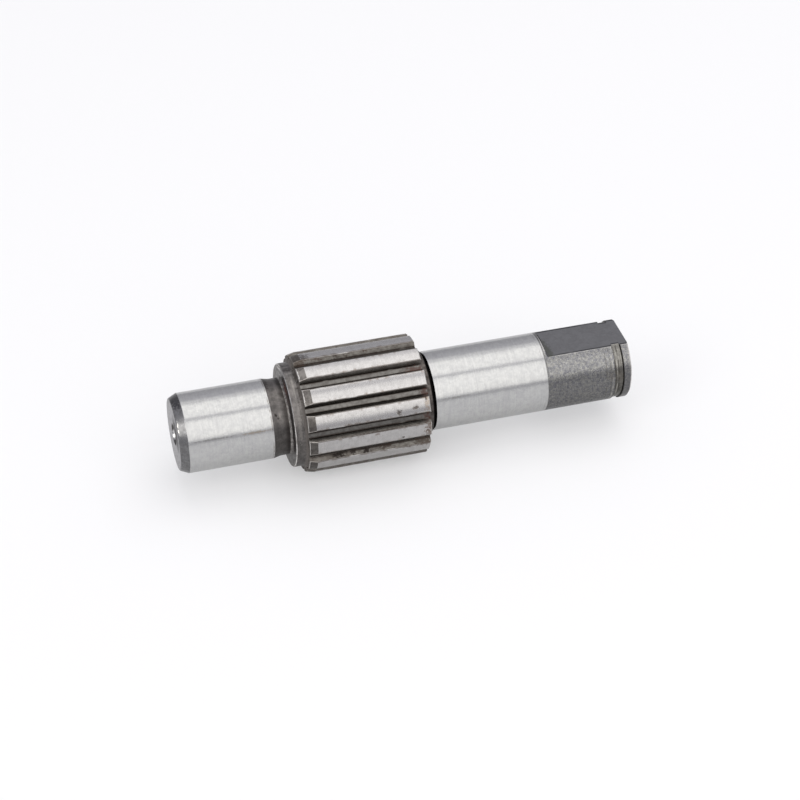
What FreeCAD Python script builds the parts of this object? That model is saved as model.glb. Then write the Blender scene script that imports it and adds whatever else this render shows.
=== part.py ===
"""Drive shaft: one steel bar, turned, splined, milled and ground.

Millimetres. The shaft's axis lies along X with x = 0 at the left end face. It lies
as it comes to rest on a table: a tooth gap points straight down, so that it stands
on two teeth, and the flats of the driven end are level.
"""
import FreeCAD, Part
import math
import os

NODE = "drive_shaft"

# Left end, from the end face towards the teeth
journal_diameter = 12.0
left_journal_end = 13.95
left_chamfer_length = 1.3
left_chamfer_depth = 0.62
left_face_edge_radius = 0.25

# Neck: the grinding relief between the left journal and the collar
neck_depth = 0.24
neck_taper_length = 1.15
neck_blend_radius = 2.5
neck_length = 2.75
neck_corner_radius = 0.4

# Collar on the left of the teeth
collar_length = 1.75
collar_under_gap_floor = 0.47
collar_edge_chamfer = 0.12
collar_corner_radius = 0.42

# Toothed length: involute splines of 30 degrees with ground lands
tooth_count = 14
tooth_module = 1.25
pressure_angle_deg = 30.0
land_over_pitch = 0.30
floor_under_pitch = 0.48
land_width = 2.26
tooth_length = 18.47
tooth_lead_length = 1.2
tooth_lead_depth = 0.23
tooth_left_edge_chamfer = 0.08
tooth_right_edge_chamfer = 0.12
root_fillet_radius = 0.14

# Shoulder and grinding groove on the right of the teeth
shoulder_length = 1.03
shoulder_over_journal = 0.6
shoulder_edge_chamfer = 0.1
shoulder_corner_radius = 0.3
relief_width = 0.55
relief_depth = 0.5

# Right journal
right_journal_length = 17.55
right_journal_edge_chamfer = 0.08

# Driven end: two flats and a groove for a retaining ring
driven_end_length = 13.25
driven_end_under_journal = 0.025
grinding_runout_length = 0.52
across_flats = 10.0
flats_setback = 0.45
flats_corner_radius = 0.2
ring_groove_width = 1.32
ring_groove_depth = 0.205
ring_land_length = 1.28
end_chamfer = 0.2

# Centre drillings of 60 degrees, one in each end face
centre_mouth_diameter = 3.35
centre_pilot_diameter = 1.6
centre_pilot_length = 2.0
centre_cone_deg = 60.0
drill_point_deg = 118.0

# Radii worked out from the sizes above
journal_radius = journal_diameter / 2
neck_radius = journal_radius - neck_depth
pitch_radius = tooth_module * tooth_count / 2
base_radius = pitch_radius * math.cos(math.radians(pressure_angle_deg))
tip_radius = pitch_radius + land_over_pitch
floor_radius = pitch_radius - floor_under_pitch
collar_radius = floor_radius - collar_under_gap_floor
shoulder_radius = journal_radius + shoulder_over_journal
relief_radius = journal_radius - relief_depth
driven_radius = journal_radius - driven_end_under_journal
ring_groove_radius = driven_radius - ring_groove_depth

# Stations along the axis
collar_start = left_journal_end + neck_length
teeth_start = collar_start + collar_length
teeth_end = teeth_start + tooth_length
relief_start = teeth_end + shoulder_length
right_journal_start = relief_start + relief_width
driven_start = right_journal_start + right_journal_length
shaft_end = driven_start + driven_end_length
ring_groove_end = shaft_end - ring_land_length
ring_groove_start = ring_groove_end - ring_groove_width

# How far a cutter reaches past what it cuts
overrun = 1.0


def point(x, radius):
    """A point of a turned outline: x along the axis, radius away from it."""
    return FreeCAD.Vector(x, radius, 0)


def turned_outline(corners):
    """The closed wire of an outline whose corners are (x, radius, rounding)."""
    edges = []
    places = [point(x, radius) for x, radius, rounding in corners]
    start = places[0]
    for index in range(1, len(corners)):
        corner = places[index]
        rounding = corners[index][2]
        if rounding == 0:
            edges.append(Part.LineSegment(start, corner).toShape())
            start = corner
            continue
        inward = (start - corner).normalize()
        outward = (places[index + 1] - corner).normalize()
        half_angle = inward.getAngle(outward) / 2
        reach = rounding / math.tan(half_angle)
        bisector = (inward + outward).normalize()
        centre = corner + bisector * (rounding / math.sin(half_angle))
        first = corner + inward * reach
        middle = centre - bisector * rounding
        last = corner + outward * reach
        edges.append(Part.LineSegment(start, first).toShape())
        edges.append(Part.Arc(first, middle, last).toShape())
        start = last
    edges.append(Part.LineSegment(start, places[0]).toShape())
    return Part.Wire(edges)


def turned(corners):
    """The solid that an outline sweeps in a full turn about the X axis."""
    face = Part.Face(turned_outline(corners))
    return face.revolve(FreeCAD.Vector(0, 0, 0), FreeCAD.Vector(1, 0, 0), 360)


def left_end_corners():
    """Face, lead-in chamfer, journal and neck, up to the collar's face."""
    return [
        (0, 0, 0),
        (0, journal_radius - left_chamfer_depth, left_face_edge_radius),
        (left_chamfer_length, journal_radius, 0),
        (left_journal_end, journal_radius, 0),
        (left_journal_end + neck_taper_length, neck_radius, neck_blend_radius),
        (collar_start, neck_radius, neck_corner_radius),
    ]


def toothed_corners():
    """Collar, blank of the teeth with its tapered lead, and the right shoulder."""
    lead_radius = tip_radius - tooth_lead_depth
    return [
        (collar_start, collar_radius - collar_edge_chamfer, 0),
        (collar_start + collar_edge_chamfer, collar_radius, 0),
        (teeth_start, collar_radius, collar_corner_radius),
        (teeth_start, lead_radius - tooth_left_edge_chamfer, 0),
        (teeth_start + tooth_left_edge_chamfer, lead_radius, 0),
        (teeth_start + tooth_lead_length, tip_radius, 0),
        (teeth_end - tooth_right_edge_chamfer, tip_radius, 0),
        (teeth_end, tip_radius - tooth_right_edge_chamfer, 0),
        (teeth_end, shoulder_radius, shoulder_corner_radius),
        (relief_start - shoulder_edge_chamfer, shoulder_radius, 0),
        (relief_start, shoulder_radius - shoulder_edge_chamfer, 0),
    ]


def right_end_corners():
    """Grinding groove, right journal and driven end with its ring groove."""
    return [
        (relief_start, relief_radius, 0),
        (right_journal_start, relief_radius, 0),
        (right_journal_start, journal_radius - right_journal_edge_chamfer, 0),
        (right_journal_start + right_journal_edge_chamfer, journal_radius, 0),
        (driven_start, journal_radius, 0),
        (driven_start + grinding_runout_length, driven_radius, 0),
        (ring_groove_start, driven_radius, 0),
        (ring_groove_start, ring_groove_radius, 0),
        (ring_groove_end, ring_groove_radius, 0),
        (ring_groove_end, driven_radius, 0),
        (shaft_end - end_chamfer, driven_radius, 0),
        (shaft_end, driven_radius - end_chamfer, 0),
        (shaft_end, 0, 0),
    ]


def involute(radius):
    """The involute function of the pressure angle that a flank has at a radius."""
    angle = math.acos(min(1.0, base_radius / radius))
    return math.tan(angle) - angle


def half_gap_angle(radius):
    """Half of the angle that a gap between two teeth spans at a radius."""
    half_land = land_width / 2 / tip_radius
    at_tip = math.pi / tooth_count - half_land
    return at_tip - involute(tip_radius) + involute(radius)


def gap_point(radius, angle):
    """A point of a gap's section; the gap is centred on straight down."""
    x = teeth_start - overrun
    return FreeCAD.Vector(x, radius * math.sin(angle), -radius * math.cos(angle))


def gap_cutter():
    """The bar that a cutter takes out of one gap, from end to end of the teeth."""
    outer_radius = tip_radius + overrun
    flank_bottom = max(floor_radius, base_radius)
    flank_steps = 4
    rise = (outer_radius - flank_bottom) / flank_steps
    radii = [flank_bottom + rise * step for step in range(flank_steps + 1)]
    flanks = {}
    for side in (-1, 1):
        spline = Part.BSplineCurve()
        spline.interpolate([gap_point(radius, side * half_gap_angle(radius)) for radius in radii])
        flanks[side] = spline.toShape()
    floor_angle = half_gap_angle(flank_bottom)
    floor_left = gap_point(floor_radius, -floor_angle)
    floor_right = gap_point(floor_radius, floor_angle)
    floor = Part.Arc(floor_left, gap_point(floor_radius, 0), floor_right).toShape()
    mouth_angle = half_gap_angle(outer_radius)
    mouth = Part.LineSegment(
        gap_point(outer_radius, -mouth_angle), gap_point(outer_radius, mouth_angle)
    ).toShape()
    edges = [floor, flanks[1], mouth, flanks[-1]]
    if base_radius > floor_radius:
        for side in (-1, 1):
            low = gap_point(floor_radius, side * floor_angle)
            high = gap_point(base_radius, side * floor_angle)
            edges.append(Part.LineSegment(low, high).toShape())
    section = Part.Face(Part.Wire(Part.__sortEdges__(edges)))
    bar = section.extrude(FreeCAD.Vector(tooth_length + 2 * overrun, 0, 0))
    root_edges = [edge for edge in bar.Edges if is_root_edge(edge)]
    return bar.makeFillet(root_fillet_radius, root_edges)


def is_root_edge(edge):
    """Whether an edge of the gap's bar runs lengthways at the gap's floor."""
    runs_lengthways = abs(edge.BoundBox.XLength - (tooth_length + 2 * overrun)) < 1e-6
    middle = edge.CenterOfMass
    return runs_lengthways and abs(math.hypot(middle.y, middle.z) - floor_radius) < 1e-6


def gap_cutters():
    """All the gaps' bars, one of them straight down."""
    first = gap_cutter()
    bars = []
    for index in range(tooth_count):
        bar = first.copy()
        bar.rotate(FreeCAD.Vector(0, 0, 0), FreeCAD.Vector(1, 0, 0), 360 * index / tooth_count)
        bars.append(bar)
    return bars


def flat_cutters():
    """The two blocks that are milled off the driven end, above and below."""
    start = driven_start + flats_setback
    length = shaft_end + overrun - start
    width = 2 * (journal_radius + overrun)
    height = journal_radius + overrun
    blocks = []
    for turn in (0, 180):
        block = Part.makeBox(
            length, width, height, FreeCAD.Vector(start, -width / 2, across_flats / 2)
        )
        inner_edges = [edge for edge in block.Edges if is_inner_flat_edge(edge, start)]
        block = block.makeFillet(flats_corner_radius, inner_edges)
        block.rotate(FreeCAD.Vector(0, 0, 0), FreeCAD.Vector(1, 0, 0), turn)
        blocks.append(block)
    return blocks


def is_inner_flat_edge(edge, start):
    """Whether an edge of a flat's block is where its floor meets its end wall."""
    middle = edge.CenterOfMass
    return abs(middle.x - start) < 1e-6 and abs(middle.z - across_flats / 2) < 1e-6


def centre_drilling():
    """The centre drill's shape in the left end face, pointing along +X."""
    mouth_radius = centre_mouth_diameter / 2
    pilot_radius = centre_pilot_diameter / 2
    cone_slope = math.tan(math.radians(centre_cone_deg / 2))
    cone_depth = (mouth_radius - pilot_radius) / cone_slope
    pilot_end = cone_depth + centre_pilot_length
    point_length = pilot_radius / math.tan(math.radians(drill_point_deg / 2))
    return turned([
        (-overrun, 0, 0),
        (-overrun, mouth_radius + overrun * cone_slope, 0),
        (cone_depth, pilot_radius, 0),
        (pilot_end, pilot_radius, 0),
        (pilot_end + point_length, 0, 0),
    ])


def centre_drillings():
    """Both centre drillings: the right one is the left one turned end for end."""
    left = centre_drilling()
    right = left.copy()
    right.rotate(FreeCAD.Vector(shaft_end / 2, 0, 0), FreeCAD.Vector(0, 0, 1), 180)
    return [left, right]


def build_shaft():
    """The whole shaft: the turned blank less its gaps, flats and centres."""
    blank = turned(left_end_corners() + toothed_corners() + right_end_corners())
    shaft = blank.cut(gap_cutters() + flat_cutters() + centre_drillings())
    return shaft.Solids[0]


os.makedirs("parts", exist_ok=True)
build_shaft().exportStep(os.path.join("parts", NODE + ".step"))
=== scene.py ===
"""Looks of the drive shaft: one steel bar, turned, splined, milled and ground.

The shaft's skin is one closed surface of two parameters. The first runs along the turned outline,
from the bottom of one centre drilling to the bottom of the other. The second runs around the axis.
Lengths are in millimetres until the mesh is made.
"""

import logging
import math
from dataclasses import dataclass
from enum import Enum, IntEnum
from typing import Any

import bpy
import numpy as np
from mathutils import Matrix, Vector

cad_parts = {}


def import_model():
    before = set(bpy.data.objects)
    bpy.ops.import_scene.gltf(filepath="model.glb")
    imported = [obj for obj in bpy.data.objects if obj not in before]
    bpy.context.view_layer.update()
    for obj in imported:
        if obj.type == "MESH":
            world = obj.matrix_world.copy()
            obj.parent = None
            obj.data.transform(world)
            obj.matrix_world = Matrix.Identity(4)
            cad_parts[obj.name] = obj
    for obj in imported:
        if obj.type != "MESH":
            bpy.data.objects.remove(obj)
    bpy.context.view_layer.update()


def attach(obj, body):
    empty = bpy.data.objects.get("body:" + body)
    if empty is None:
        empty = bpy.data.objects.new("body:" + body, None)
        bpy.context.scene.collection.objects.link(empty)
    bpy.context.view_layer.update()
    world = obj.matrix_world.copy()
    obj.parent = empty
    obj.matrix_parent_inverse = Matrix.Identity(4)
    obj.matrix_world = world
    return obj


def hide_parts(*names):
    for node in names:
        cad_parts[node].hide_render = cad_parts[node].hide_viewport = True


MM = 0.001

# The skin's rows: steps of a rounding, and lengths in mm. NO_EDGE says that no edge is near.
NO_EDGE = 9.0
ARC_STEPS = 4
LONGEST_STEP = 3.0
TINY_STEP = 0.01
ROUNDING_ERROR = 1e-6
LEFT, RIGHT, INWARDS, OUTWARDS = (-1, 0), (1, 0), (0, -1), (0, 1)

# How far the middle of a broken edge lies from its corner, as a share of the two sides' sum.
BREAK_MIDDLE = 0.3

# The ranges of a noise, or of a normal's height, over which a finish changes.
NOISE_RANGE = (0.3, 0.7)
PATCH_RANGE = (0.35, 0.65)
# The normal's heights over which the painted shade on a finish's lower side fades in.
PAINTED_SHADE_RANGE = (0.28, 0.54)

# The shares of a stain and of a line that show in full, and the size of a ragged edge's teeth in mm.
STAIN_CORE, LINE_CORE = 0.35, 0.3
RAGGED_SIZE = 0.35

# A line's pieces show where the noise is above the start. The start falls by the range as the line's share
# grows to 1, and the pieces fade in over the last value.
PIECES_START, PIECES_RANGE, PIECES_FADE = 0.64, 0.4, 0.2

CRUST_ROUGHNESS = 0.7
SPECULAR_LEVEL = 0.15
SMOOTH = {"interpolation_type": "SMOOTHSTEP"}
Section = tuple[np.ndarray, np.ndarray]
Tree = bpy.types.NodeTree
Node = bpy.types.Node
Socket = bpy.types.NodeSocket
log = logging.getLogger("drive_shaft")


def linear(hex_colour: str) -> tuple[float, float, float, float]:
    """Turns an sRGB hex colour to linear light.

    Args:
        hex_colour: Six hex digits after a hash sign.

    Returns:
        Red, green, blue and an alpha of 1.
    """
    parts = [int(hex_colour[i:i + 2], 16) / 255 for i in (1, 3, 5)]
    red, green, blue = (c / 12.92 if c <= 0.04045 else ((c + 0.055) / 1.055) ** 2.4 for c in parts)
    return red, green, blue, 1.0


class Zone(IntEnum):
    """The parts of the skin that were made, or finished, in a way of their own."""

    CENTRE = 0
    END_FACE = 1
    LEAD_IN = 2
    JOURNAL = 3
    NECK = 4
    COLLAR_FACE = 5
    COLLAR = 6
    RUBBED_EDGE = 7
    TOOTH_END = 8
    TOOTH_LEAD = 9
    LAND = 10
    FLANK = 11
    GAP_FLOOR = 12
    SHOULDER = 13
    RELIEF = 14
    STEP_WALL = 15
    DRIVEN_ROUND = 16
    FLAT = 17
    RING_GROOVE = 18
    DRIVEN_FACE = 19


class Lay(Enum):
    """Which way a cutter or a wheel left its marks."""

    AROUND = "around"
    LENGTHWAYS = "lengthways"
    RINGS = "rings"
    NONE = "none"


@dataclass
class Rings:
    """A stretch of the skin: one row for each station along the outline, one column for each place around.

    Attributes:
        x: Distance along the axis.
        radius: Distance from the axis.
        angle: Angle around the axis, from straight down towards +Y.
        zones: Zone of each face, from its row to the next and its column to the next.
        edge: Distance along the section from the nearest edge of a land or a flat, above zero on it.
    """

    x: np.ndarray | float
    radius: np.ndarray
    angle: np.ndarray
    zones: np.ndarray | Zone
    edge: np.ndarray | float = NO_EDGE

    def __post_init__(self) -> None:
        """Spreads what is given once for a row or a column over all rows and columns."""
        spread = np.broadcast_arrays(self.x, self.radius, self.angle, self.zones, self.edge)
        self.x, self.radius, self.angle, self.zones, self.edge = spread

    @staticmethod
    def join(parts: "list[Rings]") -> "Rings":
        """Puts stretches end to end."""
        names = ("x", "radius", "angle", "zones", "edge")
        return Rings(*(np.vstack([getattr(part, name) for part in parts]) for name in names))


@dataclass(frozen=True)
class Corner:
    """A corner of the turned outline, and the zone of the stretch that starts at it."""

    x: float
    radius: float
    rounding: float
    zone: Zone


def turned_rings(corners: list[Corner], angles: np.ndarray) -> Rings:
    """The skin of a turned stretch: circles along an outline whose corners are rounded by arcs.

    At a corner whose sides meet at the angle 2h, an arc of radius q touches both sides at q / tan(h)
    from the corner, and its centre lies q / sin(h) from it. Straight stretches are divided evenly.

    Args:
        corners: The outline's corners, in order. The first and the last are kept sharp.
        angles: Where the columns lie around the axis.

    Returns:
        The rings of the stretch.
    """
    spots = np.array([[c.x, c.radius] for c in corners])
    points, zones = [spots[0]], [corners[0].zone]
    for index in range(1, len(corners)):
        corner, here = corners[index], spots[index]
        stops = here[None, :]
        if corner.rounding > 0 and index < len(corners) - 1:
            sides = spots[[index - 1, index + 1]] - here
            back, ahead = sides / np.linalg.norm(sides, axis=1)[:, None]
            half = math.acos(float(np.clip(back @ ahead, -1, 1))) / 2
            reach = corner.rounding / math.tan(half)
            middle = back + ahead
            centre = here + middle / np.linalg.norm(middle) * corner.rounding / math.sin(half)
            first, last = here + back * reach, here + ahead * reach
            chord = first + (last - first) * np.linspace(0, 1, ARC_STEPS + 1)[:, None] - centre
            stops = centre + chord / np.linalg.norm(chord, axis=1)[:, None] * corner.rounding
        gap = float(np.linalg.norm(stops[0] - points[-1]))
        steps = max(1, math.ceil(gap / LONGEST_STEP))
        points.extend(points[-1] + (stops[0] - points[-1]) * np.linspace(0, 1, steps + 1)[1:, None])
        points.extend(stops[1:])
        zones += [zones[-1]] * (steps - 1) + [corner.zone] * len(stops)
    points = np.array(points)
    return Rings(points[:, :1], points[:, 1:], angles, np.array(zones)[:, None])


def curve_between(start: np.ndarray, corner: np.ndarray, end: np.ndarray, steps: int) -> np.ndarray:
    """A quadratic curve that rounds a corner: (1-t)^2 start + 2t(1-t) corner + t^2 end.

    Args:
        start: Where the curve leaves the first side.
        corner: The corner that it rounds.
        end: Where it meets the second side.
        steps: How many steps it has.

    Returns:
        Its points after the start, one a row.
    """
    t = np.linspace(0, 1, steps + 1)[1:, None]
    return (1 - t) ** 2 * start + 2 * t * (1 - t) * corner + t ** 2 * end


def broken(x: float, radius: float, back: tuple[int, int], ahead: tuple[int, int], size: float) -> np.ndarray:
    """Three points in place of a corner of the outline: one on each of its sides and one between them.

    Args:
        x: Where the corner lies along the axis.
        radius: Its distance from the axis.
        back: The way back along the side before it, as steps of x and radius.
        ahead: The way on along the side after it.
        size: How far the outer points lie from the corner.

    Returns:
        The points, as rows of x and radius.
    """
    middle = BREAK_MIDDLE * (np.array(back) + np.array(ahead))
    return np.array([x, radius]) + size * np.array([back, middle, ahead])


def travelled(radius: np.ndarray, angle: np.ndarray) -> np.ndarray:
    """Distance along a section from its first column to each of them."""
    y, z = radius * np.sin(angle), -radius * np.cos(angle)
    return np.concatenate([[0], np.cumsum(np.hypot(np.diff(y), np.diff(z)))])


def inset(radius: np.ndarray, angle: np.ndarray, depth: float) -> Section:
    """Moves a closed outline inwards, square to itself.

    Each point moves along the normal of the line between its two neighbours.

    Args:
        radius: The outline's radii.
        angle: The outline's angles, growing.
        depth: How far it moves.

    Returns:
        The new radii and angles.
    """
    y, z = radius * np.sin(angle), -radius * np.cos(angle)
    along_y, along_z = np.roll(y, -1) - np.roll(y, 1), np.roll(z, -1) - np.roll(z, 1)
    length = np.hypot(along_y, along_z)
    y, z = y - depth * along_z / length, z + depth * along_y / length
    turned = np.arctan2(y, -z)
    turned = angle + (turned - angle + np.pi) % (2 * np.pi) - np.pi
    return np.hypot(y, z), turned


@dataclass
class ToothForm:
    """The section of the toothed length: involute splines with ground lands."""

    count: int = 14
    module: float = 1.25
    pressure_angle_deg: float = 30.0
    land_over_pitch: float = 0.30
    floor_under_pitch: float = 0.48
    land_width: float = 2.26
    root_fillet: float = 0.14
    edge_reach: float = 0.085
    floor_steps: int = 2
    fillet_steps: int = 3
    flank_steps: int = 5
    edge_steps: int = 3
    land_steps: int = 5

    def __post_init__(self) -> None:
        """Works out the radii and how many columns the section has."""
        pitch = self.module * self.count / 2
        self.base_radius = pitch * math.cos(math.radians(self.pressure_angle_deg))
        self.tip_radius = pitch + self.land_over_pitch
        self.floor_radius = pitch - self.floor_under_pitch
        self.steps_to_edge = self.floor_steps + self.fillet_steps + self.flank_steps
        self.steps = self.steps_to_edge + self.edge_steps + self.land_steps
        self.columns = 2 * self.steps * self.count

    def involute(self, radius: np.ndarray | float) -> np.ndarray:
        """The involute function, tan p - p, of the pressure angle p = acos(base radius / radius)."""
        p = np.arccos(self.base_radius / np.asarray(radius, float))
        return np.tan(p) - p

    def half_gap(self, radius: np.ndarray | float) -> np.ndarray:
        """Half of the angle that a gap spans at a radius: what the land leaves, turned by the involute."""
        at_tip = math.pi / self.count - self.land_width / 2 / self.tip_radius
        return at_tip - self.involute(self.tip_radius) + self.involute(radius)

    def section(self, limit: float) -> Section:
        """The section of the teeth where their lands lie at a given radius.

        From the middle of a gap to the middle of a tooth it is the gap's floor, the root fillet, the
        involute flank, the broken edge and half of the land. That half is mirrored and repeated.

        Args:
            limit: The radius of the lands.

        Returns:
            Radii and angles of the columns.
        """
        low = self.floor_radius
        lean = math.acos(self.base_radius / low)
        reach = self.root_fillet / math.tan((math.pi / 2 + lean) / 2)
        foot = float(self.half_gap(low))
        start = np.array([low, foot - reach / low])
        up = low + reach * math.cos(lean)
        end = np.array([up, float(self.half_gap(up))])
        floor_angles = np.linspace(0, start[1], self.floor_steps + 1)
        fillet = curve_between(start, np.array([low, foot]), end, self.fillet_steps)
        brow = limit - self.edge_reach * self.base_radius / limit
        radii = np.linspace(up, brow, self.flank_steps + 1)[1:]
        flank = np.column_stack([radii, self.half_gap(radii)])
        corner = float(self.half_gap(limit))
        top = np.array([limit, corner + self.edge_reach / limit])
        edge = curve_between(flank[-1], np.array([limit, corner]), top, self.edge_steps)
        land_angles = np.linspace(top[1], math.pi / self.count, self.land_steps + 1)[1:]
        half = np.vstack([
            np.column_stack([np.full_like(floor_angles, low), floor_angles]), fillet, flank, edge,
            np.column_stack([np.full_like(land_angles, limit), land_angles]),
        ])
        mirrored = half[::-1][1:-1].copy()
        mirrored[:, 1] = 2 * math.pi / self.count - mirrored[:, 1]
        one = np.vstack([half, mirrored])
        turns = np.arange(self.count)[:, None] * 2 * math.pi / self.count
        return np.tile(one[:, 0], self.count), (one[:, 1] + turns).ravel()

    def column_zones(self) -> np.ndarray:
        """The zone of each step around the section.

        Returns:
            Floor, flank or land, one for each column.
        """
        half = [Zone.GAP_FLOOR] * self.floor_steps + [Zone.FLANK] * (self.fillet_steps + self.flank_steps)
        half += [Zone.LAND] * (self.edge_steps + self.land_steps)
        return np.tile(np.array(half + half[::-1]), self.count)

    def edge_distance(self) -> np.ndarray:
        """How far each column lies from the nearest edge of a land, along the section.

        Returns:
            The distances, below zero in a gap.
        """
        way = travelled(*(part[:self.steps + 1] for part in self.section(self.tip_radius)))
        half = way - way[self.steps_to_edge + self.edge_steps // 2]
        return np.tile(np.concatenate([half, half[::-1][1:-1]]), self.count)


@dataclass
class FlattedForm:
    """The section of the driven end: a circle with two flats, above and below."""

    columns: int
    across_flats: float = 10.0
    edge_reach: float = 0.08
    flat_steps: int = 36
    edge_steps: int = 4

    def section(self, radius: float) -> Section:
        """The section where the round part has a given radius.

        A quarter runs from the middle of a flat to its edge, where height / radius is the cosine of the
        angle, round the broken edge and along the circle to the side. It is mirrored twice.

        Args:
            radius: The radius of the round part.

        Returns:
            Radii and angles of the columns.
        """
        height = self.across_flats / 2
        side = math.sqrt(radius ** 2 - height ** 2)
        flat_y = np.linspace(0, side - self.edge_reach, self.flat_steps + 1)
        flat = np.column_stack([flat_y, np.full_like(flat_y, -height)])
        past = math.acos(height / radius) + self.edge_reach / radius
        end = np.array([radius * math.sin(past), -radius * math.cos(past)])
        edge = curve_between(flat[-1], np.array([side, -height]), end, self.edge_steps)
        rest = np.linspace(past, math.pi / 2, self.columns // 4 - self.flat_steps - self.edge_steps + 1)[1:]
        arc = np.column_stack([radius * np.sin(rest), -radius * np.cos(rest)])
        y, z = np.vstack([flat, edge, arc]).T
        radii, angles = np.hypot(y, z), np.arctan2(y, -z)
        radii = np.concatenate([radii, radii[::-1][1:]])
        angles = np.concatenate([angles, math.pi - angles[::-1][1:]])
        return np.concatenate([radii, radii[1:-1]]), np.concatenate([angles, math.pi + angles[1:-1]])

    def on_flat(self) -> np.ndarray:
        """Tells the flats from the round.

        Returns:
            Whether each step around the section lies on a flat.
        """
        step = np.arange(self.columns) % (self.columns // 2)
        flat = self.flat_steps + self.edge_steps // 2
        return (step < flat) | (step >= self.columns // 2 - flat)

    def edge_distance(self, radius: float) -> np.ndarray:
        """How far each column lies from the nearest edge of a flat, along the section.

        Args:
            radius: The radius of the round part.

        Returns:
            The distances, above zero on the flats.
        """
        way = travelled(*(part[:self.columns // 4 + 1] for part in self.section(radius)))
        quarter = way[self.flat_steps + self.edge_steps // 2] - way
        half = np.concatenate([quarter, quarter[::-1][1:]])
        return np.concatenate([half, half[1:-1]])


@dataclass
class CentreDrilling:
    """A 60 degree centre drilling with its pilot hole."""

    mouth_radius: float = 1.675
    pilot_radius: float = 0.8
    pilot_length: float = 2.0
    cone_half_deg: float = 30.0
    point_half_deg: float = 59.0
    roundings: tuple[float, float, float] = (0.05, 0.08, 0.07)

    def corners(self, face_x: float, inward: int, face_zone: Zone) -> list[Corner]:
        """Its outline from the drill's point to the face.

        Args:
            face_x: Where the end face lies.
            inward: 1 where the hole runs towards +X, -1 where it runs towards -X.
            face_zone: The zone that starts at the mouth.

        Returns:
            The corners, from the point outwards.
        """
        cone = (self.mouth_radius - self.pilot_radius) / math.tan(math.radians(self.cone_half_deg))
        end = cone + self.pilot_length
        tip = end + self.pilot_radius / math.tan(math.radians(self.point_half_deg))
        at_end, at_cone, at_mouth = self.roundings
        return [
            Corner(face_x + inward * tip, 0.0, 0, Zone.CENTRE),
            Corner(face_x + inward * end, self.pilot_radius, at_end, Zone.CENTRE),
            Corner(face_x + inward * cone, self.pilot_radius, at_cone, Zone.CENTRE),
            Corner(face_x, self.mouth_radius, at_mouth, face_zone),
        ]


@dataclass
class LeftEnd:
    """End face, lead-in chamfer, left journal, neck and collar."""

    journal_radius: float = 6.0
    chamfer_length: float = 1.3
    chamfer_depth: float = 0.62
    chamfer_roundings: tuple[float, float] = (0.25, 0.25)
    journal_end: float = 13.95
    neck_radius: float = 5.76
    neck_taper_length: float = 1.15
    neck_roundings: tuple[float, float, float] = (0.6, 2.5, 0.4)
    collar_start: float = 16.70
    collar_radius: float = 7.80
    collar_chamfer: float = 0.12
    collar_corner_radius: float = 0.42
    teeth_start: float = 18.45
    edge_break: float = 0.03

    def rings(self, angles: np.ndarray, drilling: CentreDrilling) -> Rings:
        """The turned skin up to the teeth's end faces.

        Args:
            angles: Where the columns lie around the axis.
            drilling: The centre drilling in the face.

        Returns:
            Its rings.
        """
        journal, neck, collar = self.journal_radius, self.neck_radius, self.collar_radius
        before, after, fillet = self.neck_roundings
        edge_break = self.edge_break
        return turned_rings(drilling.corners(0.0, 1, Zone.END_FACE) + [
            Corner(0.0, journal - self.chamfer_depth, self.chamfer_roundings[0], Zone.LEAD_IN),
            Corner(self.chamfer_length, journal, self.chamfer_roundings[1], Zone.JOURNAL),
            Corner(self.journal_end, journal, before, Zone.NECK),
            Corner(self.journal_end + self.neck_taper_length, neck, after, Zone.NECK),
            Corner(self.collar_start, neck, fillet, Zone.COLLAR_FACE),
            Corner(self.collar_start, collar - self.collar_chamfer, edge_break, Zone.RUBBED_EDGE),
            Corner(self.collar_start + self.collar_chamfer, collar, edge_break, Zone.COLLAR),
            Corner(self.teeth_start, collar, self.collar_corner_radius, Zone.COLLAR),
            Corner(self.teeth_start, collar + self.collar_corner_radius + TINY_STEP, 0, Zone.TOOTH_END),
        ], angles)


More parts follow.
